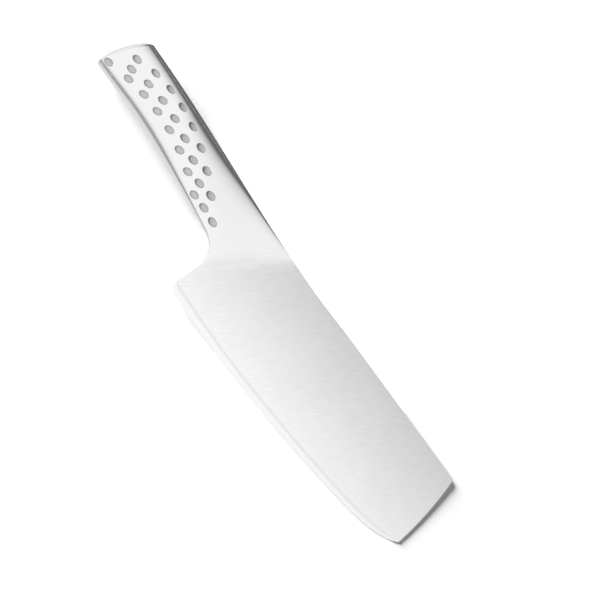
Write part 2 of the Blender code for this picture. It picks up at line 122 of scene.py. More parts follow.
# Weld of the shells to the neck, and seat and dome of the end cap
WELD_SPINE_BACK = 0.0260
WELD_BELLY_BACK = 0.0335
CAP_SPINE_BACK = 0.1315
CAP_BELLY_BACK = 0.1396
CAP_RIM = 0.0008
CAP_BULGE = 0.0026
CAP_POWER = 3.2
CAP_CROWN_POWER = 2
CAP_GROOVE = 0.00010

# Dimples, in three bowed rows on each side and one in the butt's lower corner
DIMPLE_LENGTH = 0.0056
DIMPLE_WIDTH = 0.0039
DIMPLE_DEPTH = 0.0005
DIMPLE_FLATNESS = 2
DIMPLE_LIP = 0.00005
DIMPLE_PITCH = 0.01138
CORNER_DIMPLE_BACK = 0.1358
# Reach of a dimple's press, as a squared distance in its own radii
DIMPLE_REACH = 2
# Rows of dimples: how far back the first dimple and the crest lie, the crest's
# depth, the radius of the bow on the neck's and on the butt's side, the count,
# and how many degrees the ovals turn from the handle's length
Row = namedtuple("Row", "first_back crest_back crest_depth neck_bow butt_bow count turn")
SPINE_ROW = Row(0.0375, 0.1045, 0.0004, 0.102, 0.058, 9, 1)
MIDDLE_ROW = Row(0.0459, 0.1030, 0.0076, 0.114, 0.078, 8, 10)
BELLY_ROW = Row(0.0540, 0.1003, 0.0132, 0.120, 0.135, 7, 19)

# Point of the knife's frame, mid-thickness, that the two face mounts stand over
FACE_POINT = Vector((0.060, -0.028, 0.0))

# Searches: halvings that find a station, rounds that find the choil's join, steps
# that slopes are taken over, and how near the side a height is still read
SEARCH_STEPS = 30
CHOIL_ROUNDS = 6
CHOIL_STEP = 0.00015
SLOPE_STEP = 0.0005
NEAR_SIDE = 0.999

# Fineness of the skins, and the power that crowds the edge's stations to the front
EDGE_CROWDING = 1.3
RING_POINTS = 128
NECK_STATIONS = 56
SHELL_STATIONS = 440
SHELL_POINTS = 170
INNER_STATIONS = 12
INNER_POINTS = 24
CAP_STATIONS = 28
EDGE_STATIONS = 120
FRONT_STATIONS = 20
CORNER_STATIONS = 10
DIP_STATIONS = 24

# Angles above which an edge is shaded sharp
BLADE_CREASE = math.radians(12)
HANDLE_CREASE = math.radians(40)

# Brush lines: arcs about a far centre, the spacings of the fine and the broad ones,
# how far they run, and the noise that breaks the fine ones up
BRUSH_CENTRE = (0.358, -0.240, 0.0)
BRUSH_FINE = 0.0006
BRUSH_BROAD = 0.0030
BRUSH_RUN = 0.008
BRUSH_DETAIL = 3.0
BRUSH_ROUGHNESS = 0.6

# What the lines do: the share of fine ones among them, their share of the tone
# beside soft clouds, how they swing the roughness, and the bump they make
FINE_SHARE = 0.85
LINE_SHARE = 0.8
BLADE_CLOUD_SCALE = 40.0
LINE_SWING = (0.85, 1.15)
LINE_HEIGHT = 0.00004
BRUSHED_BUMP = 0.25
POLISHED_BUMP = 0.05
POLISHED_CONTRAST = 0.035

# Steels of the blade's sides and of its bevel: colour, roughness as brushed and as
# polished, contrast of the lines, and painted shade of the line where the bevel begins
Brushed = namedtuple("Brushed", "colour roughness polished contrast line_shade")
BLADE_STEEL = Brushed((0.92, 0.93, 0.925), 0.30, 0.15, 0.15, 1.0)
BEVEL_STEEL = Brushed((0.92, 0.92, 0.915), 0.26, 0.26, 0.03, 0.83)
# Share of the bevel's width over which the painted shade line at its inner edge fades
LINE_FADE = 0.45

# Satin steel of the handle and the cap: limits of its roughness and its shade, the
# clouds between those limits, and the grain
SATIN_COLOUR = (0.90, 0.90, 0.895)
# The cap's copy of the satin steel is darker: painted shade over the whole dome
CAP_SHADED_COLOUR = (0.83, 0.83, 0.83)
SATIN_ROUGHNESS = (0.12, 0.17)
SATIN_SHADE = (0.985, 1.015)
SATIN_CLOUD_SCALE = 60.0
SATIN_CLOUD_DETAIL = 3.0
GRAIN_SCALE = 2500.0
GRAIN_HEIGHT = 0.00002
GRAIN_BUMP = 0.08

# Steel inside a dimple, the painted shade on its walls, and the share of its depth over which
# that painted shade fades
DIMPLE_COLOUR = (0.60, 0.60, 0.60)
DIMPLE_ROUGHNESS = 0.48
RIM_PAINTED_SHADE = (0.33, 0.32, 0.32)
RIM_SHADE_SHARE = 0.85

# Sand of the filling
SAND_COLOUR = (0.55, 0.47, 0.35)
SAND_SHADE = (0.8, 1.2)
SAND_ROUGHNESS = 0.95
SAND_SCALE = 1500.0
SAND_HEIGHT = 0.0003
SAND_BUMP = 0.5

# Camera
VIEW_AZIMUTH = math.radians(32.732)
VIEW_ELEVATION = math.radians(68.805)
VIEW_ROLL = math.radians(22.239)
VIEW_DISTANCE = 0.911
VIEW_TARGET = Vector((0.01633, 0.01860, 0.0))
LENS = 109.7
SENSOR_WIDTH = 36.0

# Studio floor, and its own glow, which only the camera sees: painted light that pales
# the knife's shadow, more in some places than in others. The direction and the range
# over which it varies, and its strength at shares of that range
FLOOR_SIZE = 6.0
FLOOR_WHITE = 0.94
LIFT_DIRECTION = (1.0, 1.1, 0.0)
LIFT_RANGE = (-0.15, 0.17)
FLOOR_PAINTED_LIFT = (
    (0.14, 0.19),
    (0.23, 0.09),
    (0.31, 0.09),
    (0.353, 0.26),
    (0.415, 0.50),
    (0.50, 0.62),
    (0.838, 0.62),
    (0.855, 0.09),
)

# Key light and fill light
KEY_AZIMUTH = math.radians(-91)
KEY_ELEVATION = math.radians(21)
KEY_DISTANCE = 1.0
KEY_ANGLE = math.radians(35)
KEY_STRENGTH = 7.8
FILL_LIGHT = 0.11

# Ceiling that metal reflects, from the edge's side at 0 over the zenith to the
# spine's at 1: its fall-off to either side, and how the far one slants along X
NEAR_CEILING = (
    (0.00, (0.30, 0.28, 0.26)),
    (0.03, (0.35, 0.34, 0.33)),
    (0.06, 0.45),
    (0.09, 0.62),
    (0.12, 0.78),
    (0.16, 0.91),
    (0.22, 0.98),
    (0.30, 1.00),
)
FAR_CEILING = (
    (0.54, 1.00),
    (0.59, 0.965),
    (0.62, 0.89),
    (0.66, 0.79),
    (0.70, 0.66),
    (0.73, 0.54),
    (0.76, 0.38),
    (0.78, 0.17),
    (0.80, 0.13),
    (0.88, 0.15),
    (1.00, 0.20),
)
FAR_SLANT = 0.45

# Bright wall behind the butt, by how far reflections lean to -X
WALL_RANGE = (-0.42, -0.65)
WALL_GREY = 0.95

# Cards that only metal reflects: the corners in plan, the height, the range of Y
# that the glow varies over, and the glow at its two ends. One hangs close over the
# blade and fades towards the spine. The others lie on the floor and are painted
# reflections, which show the steel a floor darker than the lit one: dark ones along
# the spine and before the front edge, and one along the belly that goes dark away
# from the handle.
LOW_CARD_HEIGHT = 0.0002
Card = namedtuple("Card", "name corners height across glow")
CARDS = (
    Card(
        name="fading_card",
        corners=((-0.0486, -0.05), (0.17, -0.05), (0.17, 0.06), (0.0124, 0.06)),
        height=0.026,
        across=(-0.045, 0.055),
        glow=(1.10, 0.54),
    ),
    Card(
        name="dark_flag",
        corners=((-0.145, 0.018), (0.60, 0.018), (0.60, 0.60), (-0.60, 0.60)),
        height=LOW_CARD_HEIGHT,
        across=(0.018, 0.60),
        glow=(0.15, 0.15),
    ),
    Card(
        name="front_flag",
        corners=((0.151, -0.05), (0.60, -0.05), (0.60, 0.018), (0.1343, 0.018)),
        height=LOW_CARD_HEIGHT,
        across=(-0.05, 0.018),
        glow=(0.0, 0.0),
    ),
    Card(
        name="belly_card",
        corners=((-0.30, -0.60), (0.05, -0.60), (0.05, 0.018), (-0.16, 0.018)),
        height=LOW_CARD_HEIGHT,
        across=(-0.014, -0.052),
        glow=(0.79, 0.34),
    ),
)

# Where the blade's tip and its corner at the spine lie, and half its thickness there
TIP_X = BLADE_LENGTH - HEEL_BACK
CORNER_X = TIP_X - FRONT_LEAN
SPINE_HALF = SPINE_THICKNESS / 2


def smoothstep(value):
    """Share from 0 to 1 that sets off and arrives gently."""
    value = min(max(value, 0.0), 1.0)
    return value * value * (3 - 2 * value)


def mix(start, end, share):
    """Value a share of the way from one number to another."""
    return start + (end - start) * share


def half_thickness(place):
    """Half thickness of the flat-ground blade over a place in plan."""
    to_edge = (SPINE_THICKNESS - BEHIND_BEVEL_THICKNESS) * place.y / EDGE_DEPTH
    to_front = FRONT_THINNING * place.x / TIP_X
    return (SPINE_THICKNESS + to_edge - to_front) / 2


def edge_y(x):
    """Height of the cutting edge: a long sweep that turns up at the nose."""
    if x < EDGE_LOW_X:
        share = (EDGE_LOW_X - x) / (EDGE_LOW_X + HEEL_BACK)
        return -EDGE_DEPTH + HEEL_RISE * share**2
    share = (x - EDGE_LOW_X) / (TIP_X - EDGE_LOW_X)
    sweep = EDGE_SWEEP * share**EDGE_SWEEP_POWER + NOSE_RISE * share**NOSE_POWER
    return sweep - EDGE_DEPTH


def bevel_width(x):
    """Width of the bevel, which narrows a little to the front and then at the nose."""
    share = max(0.0, (x - EDGE_LOW_X) / (TIP_X - EDGE_LOW_X))
    loss = BEVEL_TAPER * share + BEVEL_NOSE_LOSS * share**BEVEL_NOSE_POWER
    return BEVEL_WIDTH * (1 - loss)


def belly_y(x):
    """Height of the handle's belly, which drops towards the choil."""
    share = max(0.0, (x + BELLY_DROP_BACK) / BELLY_DROP_LENGTH)
    return -BELLY_DEPTH - BELLY_DROP * share**BELLY_DROP_POWER


def find_choil():
    """Centre height of the choil's arc and the angle where the belly joins it."""
    x = -CHOIL_BACK - CHOIL_RADIUS
    for _ in range(CHOIL_ROUNDS):
        fall = belly_y(x - CHOIL_STEP) - belly_y(x + CHOIL_STEP)
        slope = fall / (2 * CHOIL_STEP)
        angle = math.atan2(1, slope)
        x = -CHOIL_BACK - CHOIL_RADIUS + CHOIL_RADIUS * math.cos(angle)
    return belly_y(x) - CHOIL_RADIUS * math.sin(angle), angle


CHOIL_Y, CHOIL_JOIN = find_choil()


def rear_x(y):
    """X of the blade's rear edge between the choil and the heel."""
    plunge_end = CHOIL_Y - PLUNGE_TAIL
    return mix(-CHOIL_BACK, -HEEL_BACK, (plunge_end - y) / (plunge_end + EDGE_DEPTH))


def chord_x(y):
    """X of the straight line under the bulge of the blade's front edge."""
    return mix(CORNER_X, TIP_X, y / edge_y(TIP_X))


def front_x(y):
    """X of the blade's slightly bulging front edge at height y."""
    share = y / edge_y(TIP_X)
    return chord_x(y) + FRONT_BULGE * 4 * share * (1 - share)


def eased_thickness(place):
    """Half thickness on the outline, eased where the front edge bulges."""
    beyond = max(0.0, place.x - chord_x(place.y)) / FRONT_BULGE
    return half_thickness(place) - FRONT_EASE * beyond


def spine_y(x):
    """Height of the upper outline: the blade's spine, a shallow dip, the handle."""
    if x > SPINE_DIP_X:
        return -SPINE_DIP * (1 - smoothstep((x - SPINE_DIP_X) / SPINE_DIP_LENGTH))
    share = min(1.0, (SPINE_DIP_X - x) / HANDLE_RISE_LENGTH)
    return HANDLE_RISE * mix(smoothstep(share), share, HANDLE_RISE_RAMP) - SPINE_DIP


def lower_y(x):
    """Height of the lower outline: the belly, then the arc into the choil."""
    along = x + CHOIL_BACK + CHOIL_RADIUS
    if along > CHOIL_RADIUS * math.cos(CHOIL_JOIN):
        return CHOIL_Y + math.sqrt(max(0.0, CHOIL_RADIUS**2 - along**2))
    return belly_y(x)


def neck_under(share):
    """Point on the choil, from the plunge (0) back to the shells' weld (1)."""
    weld_angle = math.acos((CHOIL_BACK + CHOIL_RADIUS - WELD_BELLY_BACK) / CHOIL_RADIUS)
    distance = share * (PLUNGE_TAIL + CHOIL_RADIUS * weld_angle)
    if distance < PLUNGE_TAIL:
        return Vector((-CHOIL_BACK, CHOIL_Y - PLUNGE_TAIL + distance))
    angle = (distance - PLUNGE_TAIL) / CHOIL_RADIUS
    reach = CHOIL_RADIUS * Vector((math.cos(angle), math.sin(angle)))
    return Vector((-CHOIL_BACK - CHOIL_RADIUS, CHOIL_Y)) + reach


class Station:
    """A cut across the handle or neck, standing on a slanted line in plan."""

    def __init__(self, top, bottom):
        self.top = Vector(top)
        self.bottom = Vector(bottom)
        self.centre = (self.top + self.bottom) / 2
        self.half_width = (self.top - self.bottom).length / 2
        self.across = (self.top - self.bottom).normalized()
        plunge_x = -CHOIL_BACK / 2
        self.back = min(1.0, (plunge_x - self.centre.x) / NECK_LENGTH)
        rise = NECK_RAMP * self.back + (1 - NECK_RAMP) * smoothstep(self.back)
        half = mix(SPINE_HALF, HANDLE_THICKNESS / 2, rise)
        cap_x = -(CAP_SPINE_BACK + CAP_BELLY_BACK) / 2
        taper = smoothstep(1 - (self.centre.x - cap_x) / BUTT_TAPER_LENGTH)
        self.half_height = half - (HANDLE_THICKNESS - BUTT_THICKNESS) / 2 * taper
        self.power = mix(OVAL_POWER, NECK_POWER, (1 - self.back) ** NECK_BLEND_POWER)

    def point(self, angle, inset=0.0):
        """Point of the oval section, angle 0 at the spine and pi at the belly."""
        cosine, sine = math.cos(angle), math.sin(angle)
        along = math.copysign(abs(cosine) ** (2 / self.power), cosine)
        up = math.copysign(abs(sine) ** (2 / self.power), sine)
        place = self.centre + self.across * along * (self.half_width - inset)
        return Vector((place.x, place.y, up * (self.half_height - inset)))

    def height(self, across):
        """Height of the outer surface, across being -1 to 1 over the width."""
        return self.half_height * (1 - abs(across) ** self.power) ** (1 / self.power)


def handle_station(share):
    """Station between the weld at the neck (0) and the seat of the cap (1)."""
    top_x = -mix(WELD_SPINE_BACK, CAP_SPINE_BACK, share)
    bottom_x = -mix(WELD_BELLY_BACK, CAP_BELLY_BACK, share)
    return Station((top_x, spine_y(top_x)), (bottom_x, lower_y(bottom_x)))


def neck_station(share):
    """Station between the plunge (0) and the shells' weld (1)."""
    top_x = -share * WELD_SPINE_BACK
    return Station((top_x, spine_y(top_x)), neck_under(share))


def plunge_ring():
    """Flat-sided ring where the neck's curves run out into the blade."""
    line = neck_station(0)
    half = RING_POINTS // 2
    upper = []
    for k in range(half + 1):
        # The points beside the first and the last stand right over them
        angle = math.pi * min(max(k - 1, 0), half - 2) / (half - 2)
        place = line.centre + line.across * line.half_width * math.cos(angle)
        bow = PLUNGE_BOW * math.sin(angle) ** 2
        side = 0 if k in (0, half) else half_thickness(place)
        upper.append(Vector((place.x - bow, place.y, side)))
    lower = [Vector((p.x, p.y, -p.z)) for p in reversed(upper[1:-1])]
    return upper + lower


def neck_rings():
    """Rings from the plunge to the weld, turning from flat-sided to oval."""
    flat = plunge_ring()
    start = neck_station(0)
    rings = [flat]
    for i in range(1, NECK_STATIONS + 1):
        share = i / NECK_STATIONS
        station = neck_station(share)
        flatness = (1 - share) ** NECK_BLEND_POWER
        ring = []
        for k in range(RING_POINTS):
            oval = station.point(2 * math.pi * k / RING_POINTS)
            ratio = (flat[k].xy - start.centre).dot(start.across) / start.half_width
            place = station.centre + station.across * station.half_width * ratio
            slab = math.copysign(station.half_height, flat[k].z) if flat[k].z else 0
            slab *= half_thickness(flat[k]) / SPINE_HALF
            bowed = flat[k].x - (start.centre + start.across * start.half_width * ratio).x
            square = Vector((place.x + bowed * flatness, place.y, slab))
            ring.append(oval.lerp(square, flatness))
        rings.append(ring)
    return rings


def edge_lines():
    """Matching points along the bevel's inner line and along the cutting edge."""
    heel_x = -HEEL_BACK + HEEL_RADIUS
    centre = Vector((heel_x, edge_y(heel_x) + HEEL_RADIUS))
    top = centre.y + BEVEL_HEEL_STEP
    start = Vector((rear_x(top), top))
    end = Vector((heel_x, edge_y(heel_x) + bevel_width(heel_x)))
    inner, outer = [], []
    for i in range(CORNER_STATIONS):
        share = i / CORNER_STATIONS
        angle = math.pi * (1 + share / 2)
        outer.append(centre + HEEL_RADIUS * Vector((math.cos(angle), math.sin(angle))))
        inner.append(start.lerp(end, share))
    end_y = edge_y(TIP_X) + bevel_width(TIP_X)
    for i in range(EDGE_STATIONS + 1):
        share = 1 - (1 - i / EDGE_STATIONS) ** EDGE_CROWDING
        x = mix(centre.x, TIP_X, share)
        outer.append(Vector((x, edge_y(x))))
        x = mix(centre.x, front_x(end_y), share)
        inner.append(Vector((x, edge_y(min(x, TIP_X)) + bevel_width(x))))
    return inner, outer


def front_line():
    """Points along the blade's spine, round its corner and down the front edge."""
    lean = FRONT_LEAN + 4 * FRONT_BULGE
    turn = math.atan2(-edge_y(TIP_X), lean)
    start_x = CORNER_X - CORNER_RADIUS * math.tan(turn / 2)
    dip_end = SPINE_DIP_X + SPINE_DIP_LENGTH
    points = []
    for i in range(1, DIP_STATIONS + 1):
        x = dip_end * i / DIP_STATIONS
        points.append(Vector((x, spine_y(x))))
    for i in range(CORNER_STATIONS + 1):
        angle = math.pi / 2 - turn * i / CORNER_STATIONS
        reach = CORNER_RADIUS * Vector((math.cos(angle), math.sin(angle)))
        points.append(Vector((start_x, -CORNER_RADIUS)) + reach)
    last = points[-1].y
    end = edge_y(TIP_X) + bevel_width(TIP_X)
    for i in range(1, FRONT_STATIONS):
        y = mix(last, end, i / FRONT_STATIONS)
        points.append(Vector((front_x(y), y)))
    return points


def surface_height(x, y):
    """Height of the handle's outer surface over a point in plan."""
    low, high = 0.0, 1.0
    for _ in range(SEARCH_STEPS):
        share = (low + high) / 2
        station = handle_station(share)
        ahead = (x - station.centre.x) * station.across.y
        ahead -= (y - station.centre.y) * station.across.x
        if ahead > 0:
            high = share
        else:
            low = share
    across = (Vector((x, y)) - station.centre).dot(station.across) / station.half_width
    return station.height(min(max(across, -NEAR_SIDE), NEAR_SIDE))


def row_spot(row, x):
    """Place of a row's dimple at x, and the turn of its oval in radians."""
    ahead = x + row.crest_back
    radius = row.neck_bow if ahead > 0 else row.butt_bow
    return x, -row.crest_depth - ahead**2 / (2 * radius), math.radians(row.turn)


def dimple_places():
    """Place and turn of each dimple on one side of the handle."""
    for row in (SPINE_ROW, MIDDLE_ROW, BELLY_ROW):
        for i in range(row.count):
            yield row_spot(row, -row.first_back - DIMPLE_PITCH * i)
    yield row_spot(BELLY_ROW, -CORNER_DIMPLE_BACK)


def dimple_frame(x, y, turn):
    """Matrix that stands a dimple on the surface, its length along the handle."""
    step = SLOPE_STEP
    here = surface_height(x, y)
    slope_x = (surface_height(x + step, y) - surface_height(x - step, y)) / (2 * step)
    slope_y = (surface_height(x, y + step) - surface_height(x, y - step)) / (2 * step)
    normal = Vector((-slope_x, -slope_y, 1)).normalized()
    along = Vector((math.cos(turn), math.sin(turn), 0))
    along = (along - normal * along.dot(normal)).normalized()
    placed = Matrix((along, normal.cross(along), normal)).transposed().to_4x4()
    placed.translation = Vector((x, y, here))
    return placed


def knife_to_row():
    """Matrix from the knife's frame to the row frame, off the blade's two faces."""
    faces = {mount["name"]: mount for mount in frame["record"]["mounts"]}
    right, left = faces["blade_right_face"], faces["blade_left_face"]
    upper = Vector(right["axis"]).normalized()
    under = Vector(left["axis"]).normalized()
    up = (upper - under).normalized()
    thinning = (upper + under).normalized()
    seen = Matrix((thinning, up, thinning.cross(up))).transposed()
    to_edge = (SPINE_THICKNESS - BEHIND_BEVEL_THICKNESS) / EDGE_DEPTH
    flat_thinning = Vector((FRONT_THINNING / TIP_X, -to_edge, 0)).normalized()
    flat_up = Vector((0, 0, 1))
    flat = Matrix((flat_thinning, flat_up, flat_thinning.cross(flat_up)))
    matrix = (seen @ flat).to_4x4()
    middle = (Vector(right["pos_m"]) + Vector(left["pos_m"])) / 2
    matrix.translation = middle - matrix.to_3x3() @ FACE_POINT
    return matrix


KNIFE = knife_to_row()


# Mesh helpers

def finish_piece(name, bm, materials, node, crease):
    """Place a finished bmesh in the row frame, as the look of one CAD node."""
    bmesh.ops.recalc_face_normals(bm, faces=bm.faces)
    if bm.calc_volume(signed=True) < 0:
        bmesh.ops.reverse_faces(bm, faces=bm.faces)
    sharp = [edge.index for edge in bm.edges if not edge.smooth]
    mesh = bpy.data.meshes.new(name)
    bm.to_mesh(mesh)
    bm.free()
    mesh.transform(KNIFE)
    mesh.shade_smooth()
    mesh.set_sharp_from_angle(angle=crease)
    for index in sharp:
        mesh.edges[index].use_edge_sharp = True
    for material in materials:
        mesh.materials.append(material)
    piece = bpy.data.objects.new(name, mesh)
    bpy.context.scene.collection.objects.link(piece)
    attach(piece, "root")
    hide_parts(node)
    return piece


def add_points(bm, points):
    """New vertices at a row of points."""
    return [bm.verts.new(point) for point in points]


def bridge(bm, first, second, closed=True, material=0):
    """Join two rows of as many vertices with four-sided faces."""
    for i in range(len(first) if closed else len(first) - 1):
        j = (i + 1) % len(first)
        face = bm.faces.new((first[i], first[j], second[j], second[i]))
        face.material_index = material


def side_points(bm, line, side, half=half_thickness):
    """New vertices over a line in plan, on one side of the blade."""
    return [bm.verts.new((p.x, p.y, side * half(p))) for p in line]


# Pieces

def add_neck(bm, polish):
    """Neck, more polished towards the handle; returns its ring at the plunge."""
    rings = [add_points(bm, ring) for ring in neck_rings()]
    for i, ring in enumerate(rings):
        for vert in ring:
            vert[polish] = smoothstep(i / NECK_STATIONS)
    for first, second in zip(rings, rings[1:]):
        bridge(bm, first, second)
    bm.faces.new(rings[-1])
    return rings[0]


def make_blade(brushed, honed):
    """Flat-ground blade with its bevel, and the neck that runs into the handle."""
    bm = bmesh.new()
    polish = bm.verts.layers.float.new("polish")
    bevel_line_mask = bm.verts.layers.float.new("bevel_line_mask")
    ring = add_neck(bm, polish)
    middle = RING_POINTS // 2
    front = front_line()
    inner, outer = edge_lines()
    # From here on the front edge bulges over its chord
    bulge = len(front) - FRONT_STATIONS + 1
    chord_line = [Vector((chord_x(p.y), p.y)) for p in front[bulge:]]
    rims, edges, heels, flats = [], [], [], []
    for side in (1, -1):
        near = ring[1:middle] if side > 0 else ring[:middle:-1]
        top = side_points(bm, front, side, eased_thickness)
        chord = side_points(bm, chord_line, side)
        bevel = side_points(bm, inner, side)
        # Vertices on the bevel's inner edge, where the bevel's steel gets a line of painted
        # shade
        for vert in bevel:
            vert[bevel_line_mask] = 1.0
        edge = side_points(bm, outer, side, lambda place: EDGE_THICKNESS / 2)
        # One flat face within the plunge, the spine, the chord and the bevel
        flats.append(bm.faces.new(near[:1] + top[:bulge] + chord + bevel[::-1] + near[:0:-1]))
        # Eased strip along the front edge, closed at the corner and at the bevel
        bridge(bm, chord, top[bulge:], closed=False)
        bm.faces.new((top[bulge - 1], top[bulge], chord[0]))
        bm.faces.new((bevel[-1], chord[-1], top[-1]))
        bridge(bm, bevel, edge, closed=False, material=1)
        rims.append(near[:1] + top + bevel[-1:] + edge[-1:])
        edges.append(edge)
        heels.append((near[-1], bevel[0], edge[0]))
    # Narrow faces between the sides: spine and front, cutting edge, rear
    bridge(bm, rims[0][1:], rims[1][1:], closed=False)
    bm.faces.new((ring[0], rims[0][0], rims[0][1], rims[1][1], rims[1][0]))
    bridge(bm, edges[0], edges[1], closed=False, material=1)
    bridge(bm, heels[0][1:], heels[1][1:], closed=False, material=1)
    bm.faces.new((ring[middle], heels[0][0], heels[0][1], heels[1][1], heels[1][0]))
    bm.edges.index_update()
    for flat in flats:
        for edge in flat.edges:
            edge.smooth = False
    materials = [brushed, honed]
    return finish_piece("blade_steel", bm, materials, "blade", BLADE_CREASE)


def pressed_grid():
    """Points over one half of the handle with its dimples, and how sunk each is."""
    rows = []
    for i in range(SHELL_STATIONS + 1):
        station = handle_station(i / SHELL_STATIONS)
        angles = [math.pi * k / SHELL_POINTS for k in range(SHELL_POINTS + 1)]
        rows.append([station.point(angle) for angle in angles])
    points = np.array(rows)
    sunk = np.full(points.shape[:2], -DIMPLE_DEPTH)
    for x, y, turn in dimple_places():
        placed = np.array(dimple_frame(x, y, turn))
        back = np.linalg.inv(placed)
        local = points @ back[:3, :3].T + back[:3, 3]
        squared = (2 * local[..., 0] / DIMPLE_LENGTH) ** 2
        squared += (2 * local[..., 1] / DIMPLE_WIDTH) ** 2
        near = (squared < DIMPLE_REACH) & (local[..., 2] > -DIMPLE_LENGTH)
        # What stands over the dimple's bowl goes down, with a round lip at its rim
        over = local[..., 2] - DIMPLE_DEPTH * (squared**DIMPLE_FLATNESS - 1)
        local[..., 2] -= (over + np.sqrt(over**2 + DIMPLE_LIP**2)) / 2
        moved = local @ placed[:3, :3].T + placed[:3, 3]
        points[near] = moved[near]
        sunk[near] = np.maximum(sunk[near], over[near])
    return points, sunk


def make_shell(name, node, side, grid, material):
    """Half of the handle: the pressed outer skin, and a plain inner one."""
    points, sunk = grid
    bm = bmesh.new()
    mask = bm.verts.layers.float.new("dimple")
    rim = bm.verts.layers.float.new("rim")
    outer = []
    for row, depths in zip(points, sunk):
        verts = []
        for point, depth in zip(row, depths):
            vert = bm.verts.new((point[0], point[1], side * point[2]))
            vert[mask] = smoothstep(depth / DIMPLE_LIP + 0.5)
            # Weight of the painted shade on the dimple's walls: full at its outline, gone
            # towards its floor
            vert[rim] = 1 - smoothstep(depth / DIMPLE_DEPTH / RIM_SHADE_SHARE)
            verts.append(vert)
        outer.append(verts)
    inner = []
    for i in range(INNER_STATIONS + 1):
        station = handle_station(i / INNER_STATIONS)
        angles = [math.pi * k / INNER_POINTS for k in range(INNER_POINTS + 1)]
        places = [station.point(angle, WALL) for angle in angles]
        inner.append(add_points(bm, [(p.x, p.y, side * p.z) for p in places]))
    for skin in (outer, inner):
        for row, following in zip(skin, skin[1:]):
            bridge(bm, row, following, closed=False)
    bm.faces.new(outer[0] + inner[0][::-1])
    bm.faces.new(outer[-1] + inner[-1][::-1])
    for edge in (0, -1):
        bm.faces.new([row[edge] for row in outer] + [row[edge] for row in reversed(inner)])
    return finish_piece(name, bm, [material], node, HANDLE_CREASE)


def make_cap(material):
    """Domed end of the handle, with the fine line of its weld round the rim."""
    seat = handle_station(1)
    outward = Vector((-seat.across.y, seat.across.x))
    bm = bmesh.new()
    rings = []
    for i in range(CAP_STATIONS + 1):
        turn = math.pi / 2 * i / CAP_STATIONS
        reach = math.sin(turn) ** (2 / CAP_POWER)
        flat = math.cos(turn) ** (2 / CAP_POWER)
        inset = CAP_GROOVE if i == 0 else 0.0
        ring = []
        for k in range(RING_POINTS):
            point = seat.point(2 * math.pi * k / RING_POINTS, inset)
            share = (point.xy - seat.centre).dot(seat.across) / seat.half_width
            depth = CAP_RIM + CAP_BULGE * (1 - abs(share) ** CAP_CROWN_POWER)
            place = point.xy + outward * depth * reach
            ring.append(Vector((place.x, place.y, point.z * flat)))
        rings.append(ring)
    half = RING_POINTS // 2
    rows = [add_points(bm, ring) for ring in rings[:-1]]
    crown = add_points(bm, rings[-1][: half + 1])
    rows.append(crown + crown[half - 1 : 0 : -1])
    for first, second in zip(rows, rows[1:]):
        bridge(bm, first, second)
    bm.faces.new(rows[0])
    return finish_piece("end_cap_steel", bm, [material], "end_cap", HANDLE_CREASE)


def fit_to_cad(pieces):
    """Draw the fine skins in by the few hundredths of a millimetre they overhang."""
    meshes = [piece.data for piece in pieces]
    points = [np.array([vert.co for vert in mesh.vertices]) for mesh in meshes]
    low = np.min([group.min(0) for group in points], axis=0)
    high = np.max([group.max(0) for group in points], axis=0)
    cad_low, cad_high = (np.array(corner) for corner in CAD_BOX)
    for mesh, group in zip(meshes, points):
        fitted = cad_low + (group - low) * (cad_high - cad_low) / (high - low)
        mesh.vertices.foreach_set("co", fitted.ravel())
        mesh.update()


# Materials

def opaque(colour):
    """Colour with its alpha, from a colour without one or from a grey."""
    red, green, blue = colour if isinstance(colour, tuple) else (colour,) * 3
    return red, green, blue, 1


